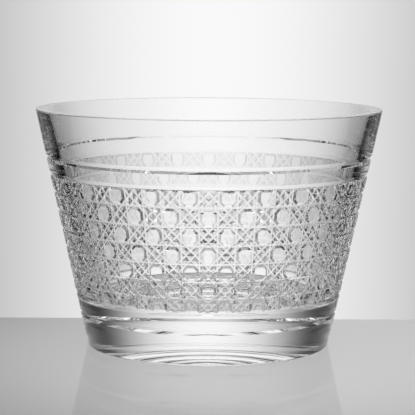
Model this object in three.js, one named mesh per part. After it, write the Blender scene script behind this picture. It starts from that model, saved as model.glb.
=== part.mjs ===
import * as THREE from 'three';

// Overall sizes in millimetres, +Z up, the middle of the foot at the origin, the photographed side facing -Y
const rimRadius = 125;
const bowlHeight = 171.3;
const footRadius = 88.1;
const rimThickness = 7.6;
const wallGrowth = 0.04;
const floorHeight = 35;
const floorCornerRadius = 7;
const footBevel = 0.8;

// Polished hollow in the middle of the underside, a low dome
const hollowRadius = 68;
const hollowDepth = 13.2;
const hollowSteps = 4;

// V rings cut round the outside: height of the middle, half of the width up the wall, depth square to the wall
const upperRing = { height: 137, halfWidth: 2.15, depth: 1.0 };
const patternTopRing = { height: 125.05, halfWidth: 2.75, depth: 1.3 };
const patternFootRing = { height: 38, halfWidth: 2, depth: 1.3 };
const baseRing = { height: 23.7, halfWidth: 2, depth: 1.3 };

// Octagon cut: one cell is half of a repeat wide, and octagons and squares take turns like a chessboard
const repeatsRound = 27;
const cellAspect = 1.074;
const topRowHeight = 105.06;
const cutDepth = 1;
const cutHalfWidth = 0.16;
const stripHalfWidth = 0.26;
const pointDepth = 0.1;

// Fineness of the round shapes
const outerSides = 76;
const innerSides = 52;
const cornerSteps = 4;
const samePoint = 1e-4;

const coneRise = (rimRadius - footRadius) / bowlHeight;
const wallLean = Math.atan(coneRise);
const innerLean = Math.atan(coneRise + wallGrowth / Math.cos(wallLean));
const cellAngle = Math.PI / repeatsRound;
const rowRatio = cellAspect * cellAngle * Math.sin(wallLean);

function outerRadiusAt(height) {
  return footRadius + coneRise * height;
}

// The wall thickens evenly from the rim down
function innerRadiusAt(height) {
  const thickness = rimThickness + wallGrowth * (bowlHeight - height);
  return outerRadiusAt(height) - thickness / Math.cos(wallLean);
}

// A place on the outer wall, sunk square to it by a depth
function sunkInWall(height, depth) {
  return {
    radius: outerRadiusAt(height) - depth * Math.cos(wallLean),
    height: height + depth * Math.sin(wallLean),
  };
}

// Rows grow with the radius, so every cell keeps its shape: across counts cells round, up counts rows from the top one
function rowAt(height) {
  return Math.log(outerRadiusAt(height) / outerRadiusAt(topRowHeight)) / rowRatio;
}

function cellPoint([across, up, depth]) {
  const radius = outerRadiusAt(topRowHeight) * Math.exp(rowRatio * up);
  const place = sunkInWall((radius - footRadius) / coneRise, depth);
  return { angle: across * cellAngle, ...place };
}

// Closed skin made of shared points
function newSkin() {
  return { numbers: new Map(), places: [], corners: [] };
}

function pointNumber(skin, { angle, radius, height }) {
  const place = [radius * Math.sin(angle), -radius * Math.cos(angle), height];
  const key = place.map((value) => Math.round(value / samePoint)).join(' ');
  if (!skin.numbers.has(key)) {
    skin.numbers.set(key, skin.numbers.size);
    skin.places.push(...place);
  }
  return skin.numbers.get(key);
}

function addTriangle(skin, first, second, third) {
  const numbers = [first, second, third].map((point) => pointNumber(skin, point));
  if (new Set(numbers).size === 3) {
    skin.corners.push(...numbers);
  }
}

function ringLoop(radius, height, sides) {
  const loop = [];
  for (let side = 0; side < sides; side += 1) {
    loop.push({ angle: (2 * Math.PI * side) / sides, radius, height });
  }
  return loop;
}

function turned(loop, index) {
  const point = loop[index % loop.length];
  return { ...point, angle: point.angle + 2 * Math.PI * Math.floor(index / loop.length) };
}

// Fills the band between two loops, always stepping along the loop whose next point comes first
function addBand(skin, lower, upper) {
  let low = 0;
  let high = 0;
  while (low < lower.length || high < upper.length) {
    const nextLow = turned(lower, low + 1);
    const nextHigh = turned(upper, high + 1);
    const stepLow = high >= upper.length || (low < lower.length && nextLow.angle <= nextHigh.angle);
    if (stepLow) {
      addTriangle(skin, turned(lower, low), nextLow, turned(upper, high));
      low += 1;
    } else {
      addTriangle(skin, turned(lower, low), nextHigh, turned(upper, high));
      high += 1;
    }
  }
}

function addBands(skin, loops) {
  for (let index = 1; index < loops.length; index += 1) {
    addBand(skin, loops[index - 1], loops[index]);
  }
}

function wallLoop(height, depth) {
  const place = sunkInWall(height, depth);
  return ringLoop(place.radius, place.height, outerSides);
}

function ringCut({ height, halfWidth, depth }) {
  return [wallLoop(height - halfWidth, 0), wallLoop(height, depth), wallLoop(height + halfWidth, 0)];
}

// From the middle of the hollow out to its edge
function hollowLoops() {
  const loops = [ringLoop(0, hollowDepth, 1)];
  for (let step = 1; step <= hollowSteps; step += 1) {
    const share = step / hollowSteps;
    loops.push(ringLoop(hollowRadius * share, hollowDepth * (1 - share ** 2), innerSides));
  }
  return loops;
}

function mirrored(polygon) {
  return polygon.map(([across, up, depth]) => [-across, up, depth]).reverse();
}

function quarterTurned(polygon) {
  return polygon.map(([across, up, depth]) => [-up, across, depth]);
}

function aroundCell(polygon) {
  const turns = [polygon];
  for (let turn = 1; turn < 4; turn += 1) {
    turns.push(quarterTurned(turns[turn - 1]));
  }
  return turns;
}

// Octagon cell: a flat window with eight bevels down to the cuts round it
function octagonCell() {
  const edge = 0.5;
  const node = edge - stripHalfWidth;
  const windowEdge = edge - cutHalfWidth;
  const windowNode = node - cutHalfWidth * (Math.SQRT2 - 1);
  const sideBevel = [
    [edge, -node, cutDepth], [edge, node, cutDepth],
    [windowEdge, windowNode, 0], [windowEdge, -windowNode, 0],
  ];
  const cornerBevel = [
    [edge, node, cutDepth], [node, edge, cutDepth],
    [windowNode, windowEdge, 0], [windowEdge, windowNode, 0],
  ];
  const corner = [[windowEdge, windowNode, 0], [windowNode, windowEdge, 0]];
  const window = aroundCell(corner).flat();
  return [window, ...aroundCell(sideBevel), ...aroundCell(cornerBevel)];
}

// Square cell: a small point where two strips cross, and a low triangle at each side
function squareCell() {
  const edge = 0.5;
  const node = edge - stripHalfWidth;
  const pointFace = [[stripHalfWidth, 0, cutDepth], [0, stripHalfWidth, cutDepth], [0, 0, pointDepth]];
  const sideTriangle = [[stripHalfWidth, 0, cutDepth], [edge, -node, cutDepth], [edge, node, cutDepth]];
  return [...aroundCell(pointFace), ...aroundCell(sideTriangle)];
}

// Strip from one point to the next, like a hipped roof: it runs over the corner where four cells meet
function cornerStrip() {
  const edge = 0.5;
  const node = edge - stripHalfWidth;
  const lowerSide = [
    [node, -node, 0], [-node, node, 0], [-edge, node, cutDepth],
    [-stripHalfWidth, 0, cutDepth], [0, -stripHalfWidth, cutDepth], [node, -edge, cutDepth],
  ];
  const lowerHip = [[node, -edge, cutDepth], [edge, -node, cutDepth], [node, -node, 0]];
  return [lowerSide, lowerHip].flatMap((face) => [face, quarterTurned(quarterTurned(face))]);
}

// The part of a face that lies above a row limit, or below it where the sign is -1
function keptAbove(polygon, limit, sign) {
  const kept = [];
  polygon.forEach((point, index) => {
    const before = polygon[(index + polygon.length - 1) % polygon.length];
    const here = sign * (point[1] - limit);
    const there = sign * (before[1] - limit);
    if (here * there < 0) {
      const share = there / (there - here);
      kept.push(before.map((value, axis) => (axis === 1 ? limit : value + share * (point[axis] - value))));
    }
    if (here >= 0) {
      kept.push(point);
    }
  });
  return kept;
}

function triangleArea([firstX, firstY], [secondX, secondY], [thirdX, thirdY]) {
  return Math.abs((secondX - firstX) * (thirdY - firstY) - (thirdX - firstX) * (secondY - firstY)) / 2;
}

// Splits a face into triangles from the corner that leaves no sliver
function fanTriangles(polygon) {
  const fans = polygon.map((start, index) => {
    const others = [...polygon.slice(index + 1), ...polygon.slice(0, index)];
    return others.slice(1).map((point, step) => [start, others[step], point]);
  });
  const smallest = (fan) => Math.min(...fan.map((triangle) => triangleArea(...triangle)));
  return fans.reduce((best, fan) => (smallest(fan) > smallest(best) + samePoint ? fan : best));
}

function movedTo(polygon, column, row) {
  return polygon.map(([across, up, depth]) => [across + column, up + row, depth]);
}

// All faces of the cut between the two rings, and its lower and upper edge as loops
function addOctagonCut(skin, lowest, highest) {
  const edges = [new Map(), new Map()];
  const addFace = (face) => {
    const kept = keptAbove(keptAbove(face, lowest, 1), highest, -1);
    if (kept.length < 3) {
      return;
    }
    fanTriangles(kept).forEach((triangle) => addTriangle(skin, ...triangle.map(cellPoint)));
    kept.forEach((point) => {
      const across = (point[0] + 2 * repeatsRound) % (2 * repeatsRound);
      [lowest, highest].forEach((limit, index) => {
        if (point[1] === limit) {
          edges[index].set(across.toFixed(6), [across, limit, point[2]]);
        }
      });
    });
  };
  for (let row = Math.floor(lowest) - 1; row <= Math.ceil(highest) + 1; row += 1) {
    for (let column = 0; column < 2 * repeatsRound; column += 1) {
      const even = (row + column) % 2 === 0;
      const cell = even ? octagonCell() : squareCell();
      cell.forEach((face) => addFace(movedTo(face, column, row)));
      cornerStrip().forEach((face) => {
        addFace(movedTo(even ? face : mirrored(face), column + 0.5, row + 0.5));
      });
    }
  }
  return edges.map((edge) => [...edge.values()].sort((one, other) => one[0] - other[0]).map(cellPoint));
}

// Inside, from the floor corner's top to its foot
function floorCorner() {
  const middleHeight = floorHeight + floorCornerRadius;
  const middleRadius = innerRadiusAt(middleHeight) - floorCornerRadius / Math.cos(innerLean);
  const loops = [];
  for (let step = 0; step <= cornerSteps; step += 1) {
    const turn = -innerLean - (step / cornerSteps) * (Math.PI / 2 - innerLean);
    const radius = middleRadius + floorCornerRadius * Math.cos(turn);
    const height = middleHeight + floorCornerRadius * Math.sin(turn);
    loops.push(ringLoop(radius, height, innerSides));
  }
  return loops;
}

function bowlGeometry() {
  const skin = newSkin();
  const foot = [
    ...hollowLoops(),
    ringLoop(footRadius - footBevel, 0, outerSides),
    wallLoop(footBevel, 0),
  ];
  const [footEdge, footRoot] = ringCut(patternFootRing);
  const [, topRoot, topEdge] = ringCut(patternTopRing);
  addBands(skin, [...foot, ...ringCut(baseRing), footEdge, footRoot]);
  const lowest = rowAt(patternFootRing.height + patternFootRing.halfWidth);
  const highest = rowAt(patternTopRing.height - patternTopRing.halfWidth);
  const [cutFoot, cutTop] = addOctagonCut(skin, lowest, highest);
  addBand(skin, footRoot, cutFoot);
  addBand(skin, cutTop, topRoot);
  const rim = [
    ringLoop(rimRadius, bowlHeight, outerSides),
    ringLoop(innerRadiusAt(bowlHeight), bowlHeight, innerSides),
  ];
  const inside = [...floorCorner(), ringLoop(0, floorHeight, 1)];
  addBands(skin, [topRoot, topEdge, ...ringCut(upperRing), ...rim, ...inside]);
  const geometry = new THREE.BufferGeometry();
  geometry.setAttribute('position', new THREE.Float32BufferAttribute(skin.places, 3));
  geometry.setIndex(skin.corners);
  geometry.computeVertexNormals();
  return geometry;
}

// Clear lead crystal, almost colourless with a trace of grey
function crystalMaterial() {
  return new THREE.MeshStandardMaterial({ color: 0xe6e8ea, roughness: 0.03, metalness: 0, flatShading: true });
}

function makeBowl() {
  const bowl = new THREE.Mesh(bowlGeometry(), crystalMaterial());
  bowl.name = 'bowl';
  return bowl;
}

const part = new THREE.Group();
part.name = 'cut_crystal_bowl';
part.add(makeBowl());

export default part;
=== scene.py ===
import math

import bpy
import numpy as np
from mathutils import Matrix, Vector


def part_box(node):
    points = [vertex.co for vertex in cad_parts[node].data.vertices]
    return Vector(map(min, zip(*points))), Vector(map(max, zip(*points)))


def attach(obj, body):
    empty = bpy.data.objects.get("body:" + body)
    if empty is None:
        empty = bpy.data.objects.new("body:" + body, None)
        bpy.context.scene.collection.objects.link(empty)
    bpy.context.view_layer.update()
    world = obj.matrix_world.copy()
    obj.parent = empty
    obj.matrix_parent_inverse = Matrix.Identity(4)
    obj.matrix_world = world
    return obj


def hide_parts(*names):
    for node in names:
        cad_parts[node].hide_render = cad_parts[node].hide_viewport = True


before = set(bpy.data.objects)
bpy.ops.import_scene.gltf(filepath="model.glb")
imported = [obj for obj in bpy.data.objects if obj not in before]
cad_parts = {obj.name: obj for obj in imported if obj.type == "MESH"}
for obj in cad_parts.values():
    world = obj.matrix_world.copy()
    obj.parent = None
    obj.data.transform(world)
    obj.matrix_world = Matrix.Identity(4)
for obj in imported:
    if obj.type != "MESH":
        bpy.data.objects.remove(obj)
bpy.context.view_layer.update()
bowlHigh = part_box("bowl")[1]
millimetre = 0.001

# Camera, at the photo's viewing angle: lengths in metres, angles in degrees
cameraValues = {
    "imageSide": 415,
    "focalLength": 1713.0,          # in image pixels
    "place": (-0.0008, -1.238, 0.2541),
    "pitchDown": 7.155,
    "roll": 0.32,
    "sensorWidth": 36.0,            # in millimetres, as Blender has it
    "nearest": 0.01,
    "farthest": 20.0,
}


def addCamera(values):
    data = bpy.data.cameras.new("photoCamera")
    data.sensor_fit = "HORIZONTAL"
    data.sensor_width = values["sensorWidth"]
    data.lens = values["sensorWidth"] * values["focalLength"] / values["imageSide"]
    data.dof.use_dof = False
    data.clip_start = values["nearest"]
    data.clip_end = values["farthest"]
    camera = bpy.data.objects.new("photoCamera", data)
    camera.location = values["place"]
    camera.rotation_mode = "ZYX"
    camera.rotation_euler = (math.radians(90 - values["pitchDown"]), 0, math.radians(values["roll"]))
    bpy.context.scene.collection.objects.link(camera)
    bpy.context.scene.camera = camera


addCamera(cameraValues)
print("stage: camera placed")

# Body of the bowl, in millimetres. The outer wall is one straight cone from the foot to the rim.
bodyValues = {
    "rimRadius": bowlHigh[0] / millimetre,
    "height": bowlHigh[2] / millimetre,
    "footRadius": 88.1,             # where the cone meets the table
    "wallThickness": 7.6,           # at the rim
    "wallGrowth": 0.04,             # thicker by this share of the way down
    "floorHeight": 35.0,            # top of the solid base
    "floorCornerRadius": 7.0,
    "rimEdgeRadius": 0.5,
    "footEdgeRadius": 0.8,
    "hollowRadius": 68.0,           # polished hollow under the foot
    "hollowDepth": 13.2,
    "roundSides": 432,              # faces in a full circle
    "edgeSteps": 4,                 # faces across a rounded edge
    "cornerSteps": 16,
    "hollowSteps": 60,
}

coneRise = (bodyValues["rimRadius"] - bodyValues["footRadius"]) / bodyValues["height"]
wallLean = math.atan(coneRise)
innerLean = math.atan(coneRise + bodyValues["wallGrowth"] / math.cos(wallLean))
wallOut = (math.cos(wallLean), -math.sin(wallLean))


def outerRadius(height):
    return bodyValues["footRadius"] + coneRise * height


def innerRadius(height):
    thickness = bodyValues["wallThickness"] + bodyValues["wallGrowth"] * (bodyValues["height"] - height)
    return outerRadius(height) - thickness / math.cos(wallLean)


def sunk(height, depth):
    # (radius, height) of a point that lies square under the outer wall
    return (outerRadius(height) - depth * wallOut[0], height - depth * wallOut[1])


# Octagon cut. Widths are in cells, of which there are two to a repeat, and depths in millimetres.
# The pattern is worked out flat, at places (u, v): cells round the bowl and rows up it. Each face keeps
# the plane of its depth, and addCutFaces lays the faces on the cone, so that the rows grow with it.
cutValues = {
    "repeatsRound": 27,
    "cellAspect": 1.074,            # height of a cell up the wall over its width
    "topRowHeight": 105.06,         # middle of the top full row of octagons
    "diagonalOffset": 0.26,         # along a row, from the middle of a square to each of its diagonal cuts
    "diagonalHalfWidth": 0.16,
    "diagonalDepth": 1.0,
    "squareHalfWidth": 0.16,        # upright and level cuts
    "squareDepth": 1.0,
    "rootHalfWidth": 0.05,          # rounded bottom of every cut
    "pieceSize": 0.25,              # longest side of a face
}

cellAngle = math.pi / cutValues["repeatsRound"]
rowRatio = cutValues["cellAspect"] * cellAngle * math.sin(wallLean)
tiny = 1e-9                         # a smaller length or depth is nothing
sliver = 1e-7                       # a smaller area is no face
ringSliver = 1e-8                   # nor is this one, beside a ring


def rowAt(height):
    return math.log(outerRadius(height) / outerRadius(cutValues["topRowHeight"])) / rowRatio


def clipped(polygon, start, across, up):
    # the part of a convex polygon where start + across * u + up * v is not negative
    kept = []
    for index, point in enumerate(polygon):
        before = polygon[index - 1]
        here = start + across * point[0] + up * point[1]
        there = start + across * before[0] + up * before[1]
        if here * there < 0 and min(abs(here), abs(there)) > tiny:
            share = there / (there - here)
            kept.append(tuple(b + share * (p - b) for b, p in zip(before, point)))
        if here >= -tiny:
            kept.append(point)
    return kept


def isFace(polygon, least=sliver):
    # three corners or more, and a real area
    if len(polygon) < 3:
        return False
    total = 0.0
    for index, (u, v) in enumerate(polygon):
        total += polygon[index - 1][0] * v - u * polygon[index - 1][1]
    return total / 2 > least


def splitBy(polygons, start, across, up):
    halves = []
    for polygon in polygons:
        for sign in (1, -1):
            half = clipped(polygon, sign * start, sign * across, sign * up)
            if isFace(half):
                halves.append(half)
    return halves


def cutSection(depth, half, root):
    # (distance, depth) from the middle of a cut to its edge. Half of the root is level, the rest of it is
    # half as steep as the side, and so three quarters of the root add no depth.
    slope = depth / (half - root * 0.75)
    return [(0.0, depth), (root / 2, depth), (root, depth - slope / 2 * root / 2), (half, 0.0)]


def flankPlanes(cut, middle):
    # depth of a cut as start + across * u + up * v, on the flank where the middle of a face lies
    across, up, place, section = cut
    away = across * middle[0] + up * middle[1] - place
    side = 1 if away > 0 else -1
    planes = []
    for (near, deep), (far, shallow) in zip(section, section[1:]):
        if near <= abs(away) < far:
            slope = side * (shallow - deep) / (far - near)
            planes.append((deep - slope * (place + side * near), slope * across, slope * up))
    return planes


def eighthFaces(values):
    # one eighth of a repeat, between the middle of an octagon (0, 0), that of a square (1, 0) and the
    # corner that they share. Each face comes with the plane of its depth.
    diagonalWay = math.sqrt(0.5)
    offset = (1 - values["diagonalOffset"]) * diagonalWay
    square = cutSection(values["squareDepth"], values["squareHalfWidth"], values["rootHalfWidth"])
    diagonal = cutSection(values["diagonalDepth"], values["diagonalHalfWidth"], values["rootHalfWidth"])
    cuts = [
        (1, 0, 0.5, square),
        (0, 1, 0.5, square),
        (diagonalWay, diagonalWay, offset, diagonal),
        (diagonalWay, -diagonalWay, offset, diagonal),
    ]
    regions = [[(0.0, 0.0), (1.0, 0.0), (0.5, 0.5)]]
    for across, up, place, section in cuts:
        for distance, depth in section:
            for side in (1, -1):
                regions = splitBy(regions, -place - side * distance, across, up)
    faces = []
    for region in regions:
        middle = np.mean(region, axis=0)
        planes = [(0.0, 0.0, 0.0)]
        for cut in cuts:
            planes += flankPlanes(cut, middle)
        # where cuts meet, the deepest one wins
        for plane in planes:
            face = region
            for other in planes:
                if other is not plane:
                    face = clipped(face, *(mine - theirs for mine, theirs in zip(plane, other)))
            if isFace(face):
                faces.append((face, plane))
    for across, up in ((1, 0), (0, 1)):
        for step in np.arange(values["pieceSize"], 1, values["pieceSize"]):
            faces = [(part, plane) for face, plane in faces for part in splitBy([face], -step, across, up)]
    return faces


def repeatFaces(faces):
    # the eight mirrored and turned copies round the middle of an octagon
    copies = []
    for face, (start, across, up) in faces:
        for swap in (False, True):
            for flipU in (1, -1):
                for flipV in (1, -1):
                    points = [((v, u) if swap else (u, v)) for u, v in face]
                    points = [(flipU * u, flipV * v) for u, v in points]
                    slopes = (up, across) if swap else (across, up)
                    if swap != (flipU * flipV < 0):
                        points = points[::-1]
                    copies.append((points, (start, flipU * slopes[0], flipV * slopes[1])))
    return copies


# V rings cut round the outside, in millimetres: height of the root, reach above and below it, and depth
ringValues = {
    "upper": {"root": 136.5, "above": 2.9, "below": 1.55, "depth": 1.3},
    "patternTop": {"root": 123.9, "above": 2.9, "below": 1.45, "depth": 1.3},
    "patternFoot": {"root": 38.0, "above": 2.0, "below": 2.0, "depth": 1.3},
    "base": {"root": 23.9, "above": 2.4, "below": 1.6, "depth": 1.3},
}


def ringProfile(ring):
    root = ring["root"]
    return [sunk(root - ring["below"], 0), sunk(root, ring["depth"]), sunk(root + ring["above"], 0)]


def ringPlane(ring, side):
    # depth of the flank above the root (side 1) or below it (side -1), with the rows of its root and edge
    root = rowAt(ring["root"])
    edge = rowAt(ring["root"] + ring["above"] if side > 0 else ring["root"] - ring["below"])
    slope = -ring["depth"] / (edge - root)
    return (ring["depth"] - slope * root, 0.0, slope), root, edge


def ringSplit(pieces, flank, root, side):
    # the ring cuts off what is past its root, and its flank wins where it is the deeper
    result = []
    for face, plane in pieces:
        face = clipped(face, -side * root, 0, side)
        difference = [mine - theirs for mine, theirs in zip(plane, flank)]
        for sign, kept in ((1, plane), (-1, flank)):
            part = clipped(face, *(sign * value for value in difference))
            if isFace(part, ringSliver):
                result.append((part, kept))
    return result


def cutFaces(values):
    # one repeat of the pattern from the foot of the cut band to its top
    footPlane, footRoot, footEdge = ringPlane(ringValues["patternFoot"], 1)
    topPlane, topRoot, topEdge = ringPlane(ringValues["patternTop"], -1)
    laid = []
    unit = repeatFaces(eighthFaces(values))
    for row in range(math.floor(footRoot) - 1, math.ceil(topRoot) + 2):
        shift = row % 2
        for face, (start, across, up) in unit:
            lowest = row + min(v for u, v in face)
            highest = row + max(v for u, v in face)
            if highest <= footRoot or lowest >= topRoot:
                continue
            moved = [(u + shift, v + row) for u, v in face]
            pieces = [(moved, (start - across * shift - up * row, across, up))]
            if lowest < footEdge:
                pieces = ringSplit(pieces, footPlane, footRoot, 1)
            if highest > topEdge:
                pieces = ringSplit(pieces, topPlane, topRoot, -1)
            laid.extend(pieces)
    return laid, footRoot, topRoot


# Skin of the bowl: faces that share their corners, each with its own normals
weldsPerMillimetre = 2000           # corners that round to the same step are one point


class Skin:
    def __init__(self):
        self.places = []
        self.numbers = {}
        self.faces = []
        self.normals = []

    def point(self, angle, radius, height):
        place = (radius * math.sin(angle), -radius * math.cos(angle), height)
        key = tuple(round(value * weldsPerMillimetre) for value in place)
        if key not in self.numbers:
            self.numbers[key] = len(self.places)
            self.places.append(place)
        return self.numbers[key]

    def face(self, corners):
        # corners are (angle, radius, height, normal)
        numbers = []
        normals = []
        for angle, radius, height, normal in corners:
            number = self.point(angle, radius, height)
            if number not in numbers:
                numbers.append(number)
                normals.append(turnedNormal(angle, normal))
        if len(numbers) > 2:
            self.faces.append(numbers)
            self.normals.extend(normals)


def turnedNormal(angle, normal):
    # normal is (sideways, outward, up) at the front and turns with the angle round the bowl
    sideways, outward, up = normal
    length = math.sqrt(sideways ** 2 + outward ** 2 + up ** 2)
    sine, cosine = math.sin(angle), math.cos(angle)
    return (
        (sideways * cosine + outward * sine) / length,
        (sideways * sine - outward * cosine) / length,
        up / length,
    )


def addCutFaces(skin, values):
    # lays the cut band round the bowl, and gives the points along its foot and its top
    laid, footRoot, topRoot = cutFaces(values)
    ends = {footRoot: {}, topRoot: {}}
    cellsRound = 2 * values["repeatsRound"]
    topRowRadius = outerRadius(values["topRowHeight"])
    for face, (start, across, up) in laid:
        corners = []
        for u, v in face:
            depth = start + across * u + up * v
            coneRadius = topRowRadius * math.exp(rowRatio * v)
            radius, height = sunk((coneRadius - bodyValues["footRadius"]) / coneRise, depth)
            roundRate = cellAngle * radius                          # millimetres a cell, round the bowl
            riseRate = rowRatio * coneRadius / math.sin(wallLean)   # and up the wall
            outward = roundRate * riseRate * wallOut[0] + roundRate * up * -wallOut[1]
            upward = roundRate * riseRate * wallOut[1] + roundRate * up * wallOut[0]
            corners.append((u, radius, height, (riseRate * across, outward, upward)))
            for root, end in ends.items():
                if abs(v - root) < tiny:
                    for column in range(0, cellsRound, 2):
                        place = (u + column) % cellsRound
                        place = 0.0 if cellsRound - place < sliver else place
                        end[round(place, 6)] = (place * cellAngle, radius, height)
        for column in range(0, cellsRound, 2):
            skin.face([((u + column) * cellAngle, *corner) for u, *corner in corners])
    return [[end[place] for place in sorted(end)] for end in ends.values()]


def circle(radius, height):
    # a circle of radius nothing is one point
    if radius == 0:
        return [(0.0, 0.0, height)]
    sides = bodyValues["roundSides"]
    return [(2 * math.pi * side / sides, radius, height) for side in range(sides)]


def addBand(skin, lower, upper, lowerNormal, upperNormal):
    # fills between two loops, stepping along the loop whose next point comes first
    low = high = 0
    whole = 2 * math.pi
    while low < len(lower) or high < len(upper):
        atLow, atHigh = lower[low % len(lower)], upper[high % len(upper)]
        nextLow, nextHigh = lower[(low + 1) % len(lower)], upper[(high + 1) % len(upper)]
        lowAngle = nextLow[0] + whole * ((low + 1) // len(lower))
        highAngle = nextHigh[0] + whole * ((high + 1) // len(upper))
        corners = [(*atLow, lowerNormal)]
        both = low < len(lower) and high < len(upper) and abs(lowAngle - highAngle) < tiny
        stepLow = both or high >= len(upper) or (low < len(lower) and lowAngle < highAngle)
        stepHigh = both or not stepLow
        if stepLow:
            corners.append((*nextLow, lowerNormal))
            low += 1
        if stepHigh:
            corners.append((*nextHigh, upperNormal))
            high += 1
        corners.append((*atHigh, upperNormal))
        skin.face(corners)


def flankNormal(first, second):
    rise = second[1] - first[1]
    run = second[0] - first[0]
    return (0.0, rise, -run)


def addProfile(skin, profile):
    # profile points are (radius, height) or (radius, height, normal) where the surface runs on smoothly
    for first, second in zip(profile, profile[1:]):
        normal = flankNormal(first, second)
        lowerNormal = first[2] if len(first) > 2 else normal
        upperNormal = second[2] if len(second) > 2 else normal
        addBand(skin, circle(*first[:2]), circle(*second[:2]), lowerNormal, upperNormal)


def arcPoints(middle, radius, startTurn, endTurn, steps, inward=False):
    points = []
    for step in range(steps + 1):
        turn = startTurn + (endTurn - startTurn) * step / steps
        cosine, sine = math.cos(turn), math.sin(turn)
        normal = (0.0, -cosine, -sine) if inward else (0.0, cosine, sine)
        points.append((middle[0] + radius * cosine, middle[1] + radius * sine, normal))
    return points


def footProfile(values):
    # the hollow from its middle outwards, the level foot and its rounded edge
    edge = values["footEdgeRadius"]
    inset = edge * math.tan((math.pi / 2 + wallLean) / 2)
    middle = (values["footRadius"] - inset, edge)
    reach, depth = values["hollowRadius"], values["hollowDepth"]
    hollow = []
    for step in range(values["hollowSteps"] + 1):
        share = step / values["hollowSteps"]
        slope = 2 * depth * share / reach
        hollow.append((reach * share, depth * (1 - share ** 2), (0.0, -slope, -1.0)))
    return [*hollow, *arcPoints(middle, edge, -math.pi / 2, -wallLean, values["edgeSteps"])]


def rimProfile(values):
    edge = values["rimEdgeRadius"]
    height = values["height"] - edge
    outerMiddle = (outerRadius(height) - edge / math.cos(wallLean), height)
    innerMiddle = (innerRadius(height) + edge / math.cos(innerLean), height)
    outer = arcPoints(outerMiddle, edge, -wallLean, math.pi / 2, values["edgeSteps"])
    inner = arcPoints(innerMiddle, edge, math.pi / 2, math.pi - innerLean, values["edgeSteps"])
    return outer + inner


def insideProfile(values):
    corner = values["floorCornerRadius"]
    height = values["floorHeight"] + corner
    middle = (innerRadius(height) - corner / math.cos(innerLean), height)
    curve = arcPoints(middle, corner, -innerLean, -math.pi / 2, values["cornerSteps"], inward=True)
    return [*curve, (0.0, values["floorHeight"])]


def makeBowl():
    skin = Skin()
    footRing = ringProfile(ringValues["patternFoot"])
    topRing = ringProfile(ringValues["patternTop"])
    addProfile(skin, [*footProfile(bodyValues), *ringProfile(ringValues["base"]), footRing[0]])
    cutFoot, cutTop = addCutFaces(skin, cutValues)
    normal = flankNormal(footRing[0], footRing[1])
    addBand(skin, circle(*footRing[0]), cutFoot, normal, normal)
    normal = flankNormal(topRing[1], topRing[2])
    addBand(skin, cutTop, circle(*topRing[2]), normal, normal)
    upperRing = ringProfile(ringValues["upper"])
    addProfile(skin, [topRing[2], *upperRing, *rimProfile(bodyValues), *insideProfile(bodyValues)])
    mesh = bpy.data.meshes.new("cutBowl")
    mesh.from_pydata((np.array(skin.places) * millimetre).tolist(), [], skin.faces)
    mesh.polygons.foreach_set("use_smooth", [True] * len(mesh.polygons))
    mesh.normals_split_custom_set(skin.normals)
    mesh.validate()
    bowl = bpy.data.objects.new("cutBowl", mesh)
    bpy.context.scene.collection.objects.link(bowl)
    return bowl


# Crystal finish
crystalValues = {
    "tint": (1.0, 1.0, 1.0, 1.0),
    "bending": 1.545,               # index of refraction of lead crystal
    "shineTint": (0.3, 0.3, 0.3, 1.0),  # as if a polarising filter took most of the shine
    "absorbTint": (0.88, 0.86, 0.93, 1.0),
    "absorbDensity": 0.8,           # per metre
    "waveScale": 55.0,              # faint unevenness left by hand polishing
    "waveDepth": 0.00002,
    "hazeScale": 320.0,             # faint haze, in patches
    "hazeDetail": 6.0,
    "hazeFrom": 0.5,
    "hazeLeast": 0.0,
    "hazeMost": 0.012,
}


def crystalMaterial(values):
    material = bpy.data.materials.new("leadCrystal")
    material.use_nodes = True
    nodes, links = material.node_tree.nodes, material.node_tree.links
    shader = nodes["Principled BSDF"]
    shader.inputs["Base Color"].default_value = values["tint"]
    shader.inputs["IOR"].default_value = values["bending"]
    shader.inputs["Roughness"].default_value = values["hazeLeast"]
    shader.inputs["Transmission Weight"].default_value = 1.0
    shader.inputs["Specular Tint"].default_value = values["shineTint"]
    place = nodes.new("ShaderNodeTexCoord")
    wave = nodes.new("ShaderNodeTexNoise")
    wave.inputs["Scale"].default_value = values["waveScale"]
    links.new(place.outputs["Object"], wave.inputs["Vector"])
    relief = nodes.new("ShaderNodeBump")
    relief.inputs["Distance"].default_value = values["waveDepth"]
    links.new(wave.outputs["Fac"], relief.inputs["Height"])
    links.new(relief.outputs["Normal"], shader.inputs["Normal"])
    haze = nodes.new("ShaderNodeTexNoise")
    haze.inputs["Scale"].default_value = values["hazeScale"]
    haze.inputs["Detail"].default_value = values["hazeDetail"]
    links.new(place.outputs["Object"], haze.inputs["Vector"])
    wipe = nodes.new("ShaderNodeMapRange")
    wipe.inputs["From Min"].default_value = values["hazeFrom"]
    wipe.inputs["To Min"].default_value = values["hazeLeast"]
    wipe.inputs["To Max"].default_value = values["hazeMost"]
    links.new(haze.outputs["Fac"], wipe.inputs["Value"])
    links.new(wipe.outputs["Result"], shader.inputs["Roughness"])
    absorb = nodes.new("ShaderNodeVolumeAbsorption")
    absorb.inputs["Color"].default_value = values["absorbTint"]
    absorb.inputs["Density"].default_value = values["absorbDensity"]
    links.new(absorb.outputs["Volume"], nodes["Material Output"].inputs["Volume"])
    return material


bowl = makeBowl()
bowl.data.materials.append(crystalMaterial(crystalValues))
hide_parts("bowl")
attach(bowl, "root")
bowl.visible_shadow = False         # the photo shows no shadow on the table
print("stage: bowl made,", len(bowl.data.polygons), "faces")


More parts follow.
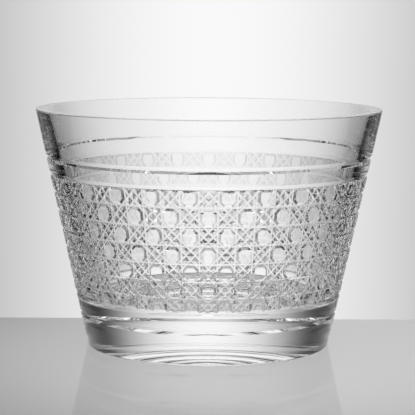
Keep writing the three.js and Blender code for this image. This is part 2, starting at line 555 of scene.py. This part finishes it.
def mathNode(material, operation, first, second=None):
    # the second input is another node's output or a number
    nodes, links = material.node_tree.nodes, material.node_tree.links
    node = nodes.new("ShaderNodeMath")
    node.operation = operation
    links.new(first, node.inputs[0])
    if isinstance(second, (int, float)):
        node.inputs[1].default_value = second
    elif second is not None:
        links.new(second, node.inputs[1])
    return node.outputs[0]


def letThrough(material, share):
    # mixes what the material shows so far with clear air: a share of 1 lets all the light through
    nodes, links = material.node_tree.nodes, material.node_tree.links
    surface = nodes["Material Output"].inputs["Surface"]
    clear = nodes.new("ShaderNodeBsdfTransparent")
    mix = nodes.new("ShaderNodeMixShader")
    links.new(share, mix.inputs[0])
    links.new(surface.links[0].from_socket, mix.inputs[1])
    links.new(clear.outputs["BSDF"], mix.inputs[2])
    links.new(mix.outputs[0], surface)


def glowMaterial(name, values):
    # light that fades to both sides and, where the values say so, above a height. The back gives none.
    material = bpy.data.materials.new(name)
    material.use_nodes = True
    nodes, links = material.node_tree.nodes, material.node_tree.links
    nodes.remove(nodes["Principled BSDF"])
    place = nodes.new("ShaderNodeNewGeometry")
    parts = nodes.new("ShaderNodeSeparateXYZ")
    links.new(place.outputs["Position"], parts.inputs[0])
    aside = mathNode(material, "SUBTRACT", parts.outputs["X"], values["middle"])
    aside = mathNode(material, "ABSOLUTE", aside)
    loss = mathNode(material, "POWER", mathNode(material, "DIVIDE", aside, values["fade"]), values["power"])
    if "topFrom" in values:
        above = mathNode(material, "SUBTRACT", parts.outputs["Z"], values["topFrom"])
        above = mathNode(material, "DIVIDE", mathNode(material, "MAXIMUM", above, 0.0), values["topFade"])
        loss = mathNode(material, "ADD", loss, mathNode(material, "POWER", above, values["topPower"]))
    kept = mathNode(material, "EXPONENT", mathNode(material, "MULTIPLY", loss, -1.0))
    glow = nodes.new("ShaderNodeEmission")
    links.new(mathNode(material, "MULTIPLY", kept, values["bright"]), glow.inputs["Strength"])
    links.new(glow.outputs["Emission"], nodes["Material Output"].inputs["Surface"])
    letThrough(material, place.outputs["Backfacing"])
    return material


def addStagePiece(name, points, faces, material):
    mesh = bpy.data.meshes.new(name)
    mesh.from_pydata(points, [], faces)
    piece = bpy.data.objects.new(name, mesh)
    piece.data.materials.append(material)
    bpy.context.scene.collection.objects.link(piece)
    return piece


# Table top, in metres: pale and slightly glossy. It ends just behind the bowl.
tableValues = {
    "backEdge": 0.089,
    "front": -2.2,
    "halfWidth": 1.6,
    "thickness": 0.02,
    "gap": 0.0001,                  # air under the foot
    "edgeRadius": 0.003,
    "edgeSteps": 8,
    "colour": 0.6,
    "grain": 0.02,                  # share by which fine speckle changes the colour
    "grainScale": 900.0,
    "roughness": 0.6,
    "sheen": 0.38,                  # thin mirror coat
    "sheenRoughness": 0.03,
}


def tableMaterial(values):
    material = bpy.data.materials.new("tableTop")
    material.use_nodes = True
    nodes, links = material.node_tree.nodes, material.node_tree.links
    shader = nodes["Principled BSDF"]
    place = nodes.new("ShaderNodeTexCoord")
    grain = nodes.new("ShaderNodeTexNoise")
    grain.inputs["Scale"].default_value = values["grainScale"]
    links.new(place.outputs["Object"], grain.inputs["Vector"])
    shade = nodes.new("ShaderNodeMapRange")
    shade.inputs["To Min"].default_value = values["colour"] * (1 - values["grain"])
    shade.inputs["To Max"].default_value = values["colour"] * (1 + values["grain"])
    links.new(grain.outputs["Fac"], shade.inputs["Value"])
    links.new(shade.outputs["Result"], shader.inputs["Base Color"])
    shader.inputs["Roughness"].default_value = values["roughness"]
    shader.inputs["Specular IOR Level"].default_value = 0.0
    shader.inputs["Coat Weight"].default_value = values["sheen"]
    shader.inputs["Coat Roughness"].default_value = values["sheenRoughness"]
    return material


def addTable(values):
    # a slab whose back edge is rounded over
    back, front, edge = values["backEdge"], values["front"], values["edgeRadius"]
    top, bottom = -values["gap"], -values["thickness"]
    outline = [(front, top)]
    for step in range(values["edgeSteps"] + 1):
        turn = math.pi / 2 * (1 - step / values["edgeSteps"])
        outline.append((back - edge + edge * math.cos(turn), top - edge + edge * math.sin(turn)))
    outline += [(back, bottom), (front, bottom)]
    points = [(side * values["halfWidth"], y, z) for side in (-1, 1) for y, z in outline]
    count = len(outline)
    faces = [tuple(range(count)), tuple(range(2 * count - 1, count - 1, -1))]
    for corner in range(count):
        after = (corner + 1) % count
        faces.append((corner, corner + count, after + count, after))
    table = addStagePiece("tableTop", points, faces, tableMaterial(values))
    # the first three faces are the two ends and the top, and then come the rounded edge and the back
    for number in range(3, values["edgeSteps"] + 4):
        table.data.polygons[number].use_smooth = True


# Bright panel behind the bowl, in metres
panelValues = {
    "distance": 0.8,
    "sides": (-1.3, 0.8),
    "low": -0.9,
    "high": 1.6,
    "bright": 0.947,
    "middle": 0.008,
    "fade": 0.363,                  # width over which the glow falls away, and how sharply
    "power": 2.05,
    "topFrom": 0.3,                 # the glow also falls away above this height
    "topFade": 0.27,
    "topPower": 2.0,
}


def addPanel(values):
    (left, right), y = values["sides"], values["distance"]
    low, high = values["low"], values["high"]
    corners = [(left, y, low), (right, y, low), (right, y, high), (left, y, high)]
    addStagePiece("brightPanel", corners, [(0, 1, 2, 3)], glowMaterial("panelGlow", values))


# Pale card behind the camera, in metres
cardValues = {
    "distance": -1.6,
    "halfWidth": 1.8,
    "low": 0.2,
    "high": 2.2,
    "bright": 1.2,
    "middle": 0.0,
    "fade": 1.0,
    "power": 2.05,
}


def addCard(values):
    half, y = values["halfWidth"], values["distance"]
    low, high = values["low"], values["high"]
    corners = [(half, y, low), (-half, y, low), (-half, y, high), (half, y, high)]
    addStagePiece("paleCard", corners, [(0, 1, 2, 3)], glowMaterial("cardGlow", values))


# Soft pool of light on the table, from a lamp above the bowl
poolValues = {
    "place": (0.08, -0.03, 0.8),
    "angle": 0.9,                   # of the whole beam, in radians
    "power": 17.0,                  # in watts
    "size": 0.05,
}


def addPool(values):
    data = bpy.data.lights.new("tablePool", "SPOT")
    data.energy = values["power"]
    data.spot_size = values["angle"]
    data.spot_blend = 1.0
    data.shadow_soft_size = values["size"]
    data.specular_factor = 0.0
    light = bpy.data.objects.new("tablePool", data)
    light.location = values["place"]
    light.visible_glossy = False
    light.visible_transmission = False
    bpy.context.scene.collection.objects.link(light)


# Wide soft light overhead, in metres
overheadValues = {
    "place": (0.0, 0.0, 1.3),
    "size": (3.0, 2.6),
    "bright": 0.4,                  # the same at every size
}


def addOverhead(values):
    data = bpy.data.lights.new("overhead", "AREA")
    data.shape = "RECTANGLE"
    data.size, data.size_y = values["size"]
    data.energy = values["bright"] * math.pi * data.size * data.size_y
    light = bpy.data.objects.new("overhead", data)
    light.location = values["place"]
    bpy.context.scene.collection.objects.link(light)


# Glowing sheet inside the far half of the bowl, close to the wall. It lights the near side's cutting from
# within, so that the far side's cutting hardly shows through it. Heights and gap are in millimetres, turns
# in degrees round from the back, and the fade in metres.
sheetValues = {
    "low": 42.0,
    "high": 126.0,
    "gap": 1.5,
    "halfTurn": 86.0,
    "steps": 96,
    "bright": 0.89,
    "middle": 0.0,
    "fade": 0.106,
    "power": 3.0,
    "clear": 0.3,                   # share of what is behind the sheet that it lets through
    "thinFrom": 72.0,               # where it starts to thin out towards its sides
}


def sheetMaterial(values):
    material = glowMaterial("sheetGlow", values)
    nodes, links = material.node_tree.nodes, material.node_tree.links
    parts = nodes["Separate XYZ"]
    turn = mathNode(material, "ARCTAN2", parts.outputs["X"], parts.outputs["Y"])
    thin = nodes.new("ShaderNodeMapRange")
    thin.interpolation_type = "SMOOTHSTEP"
    thin.inputs["From Min"].default_value = math.radians(values["thinFrom"])
    thin.inputs["From Max"].default_value = math.radians(values["halfTurn"])
    thin.inputs["To Min"].default_value = values["clear"]
    thin.inputs["To Max"].default_value = 1.0
    links.new(mathNode(material, "ABSOLUTE", turn), thin.inputs["Value"])
    letThrough(material, thin.outputs["Result"])
    return material


def addSheet(values):
    steps = values["steps"]
    points = []
    for height in (values["low"], values["high"]):
        radius = (innerRadius(height) - values["gap"]) * millimetre
        for step in range(steps + 1):
            turn = math.radians(values["halfTurn"]) * (2 * step / steps - 1)
            points.append((radius * math.sin(turn), radius * math.cos(turn), height * millimetre))
    faces = [(step, step + 1, step + steps + 2, step + steps + 1) for step in range(steps)]
    sheet = addStagePiece("softSheet", points, faces, sheetMaterial(values))
    sheet.visible_camera = False
    sheet.visible_diffuse = False
    sheet.visible_glossy = False


# Room: faint light all round, and no caustics, as in the photo
roomValues = {
    "light": 0.01,
    "bounces": 32,                  # light passes many faces of the cutting
    "glossBounces": 16,
}


def setRoom(values):
    level = values["light"]
    world = bpy.data.worlds.new("room")
    world.use_nodes = True
    world.node_tree.nodes["Background"].inputs["Color"].default_value = (level, level, level, 1.0)
    scene = bpy.context.scene
    scene.world = world
    scene.view_settings.view_transform = "Standard"
    scene.cycles.caustics_reflective = False
    scene.cycles.caustics_refractive = False
    scene.cycles.max_bounces = values["bounces"]
    scene.cycles.transmission_bounces = values["bounces"]
    scene.cycles.glossy_bounces = values["glossBounces"]


addTable(tableValues)
addPanel(panelValues)
addCard(cardValues)
addPool(poolValues)
addOverhead(overheadValues)
addSheet(sheetValues)
setRoom(roomValues)
print("stage: studio made")
